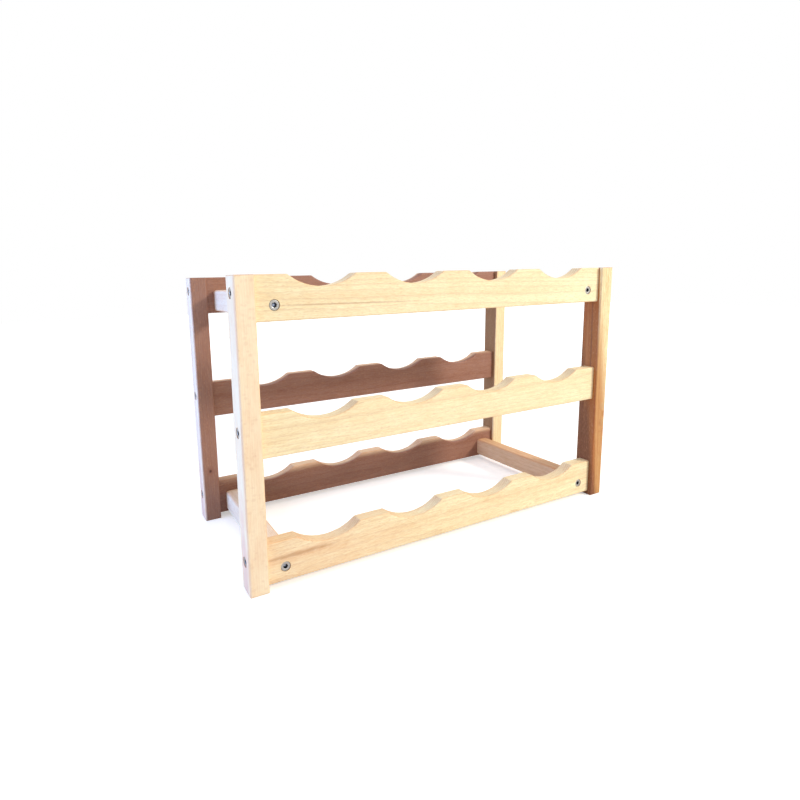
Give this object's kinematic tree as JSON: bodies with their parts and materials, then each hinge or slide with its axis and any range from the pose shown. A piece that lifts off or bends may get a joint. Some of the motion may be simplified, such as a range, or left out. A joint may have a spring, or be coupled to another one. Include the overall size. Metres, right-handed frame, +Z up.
{
  "type": "wine rack",
  "caption": "Free-standing wooden wine rack with square posts and levels of scalloped rails that hold bottles lying front to back.",
  "frame": {"origin": "centre of the rack's footprint, on the floor", "axes": "+X along the rails towards the rack's right, +Y from the front to the rear, +Z up"},
  "size_m": [0.5, 0.21, 0.306],
  "materials": {
    "beech": "planed and sanded solid beech, pale, with a thin clear matt finish",
    "zinc_plated_steel": "bright zinc-plated steel, satin",
    "dowel_wood": "turned beech dowel, raw"
  },
  "bodies": {
    "root": {"front_left_post": "beech", "front_right_post": "beech", "rear_left_post": "beech", "rear_right_post": "beech", "front_rail_bottom": "beech", "front_rail_middle": "beech", "front_rail_top": "beech", "rear_rail_bottom": "beech", "rear_rail_middle": "beech", "rear_rail_top": "beech", "side_bar_left_bottom": "beech", "side_bar_left_top": "beech", "side_bar_right_bottom": "beech", "side_bar_right_top": "beech", "front_left_post_screws": "zinc_plated_steel", "front_right_post_screws": "zinc_plated_steel", "rear_left_post_screws": "zinc_plated_steel", "rear_right_post_screws": "zinc_plated_steel", "front_rail_bottom_screws": "zinc_plated_steel", "front_rail_top_screws": "zinc_plated_steel", "rear_rail_bottom_screws": "zinc_plated_steel", "rear_rail_top_screws": "zinc_plated_steel", "front_left_dowels": "dowel_wood", "front_right_dowels": "dowel_wood", "rear_left_dowels": "dowel_wood", "rear_right_dowels": "dowel_wood"}
  },
  "joints": []
}
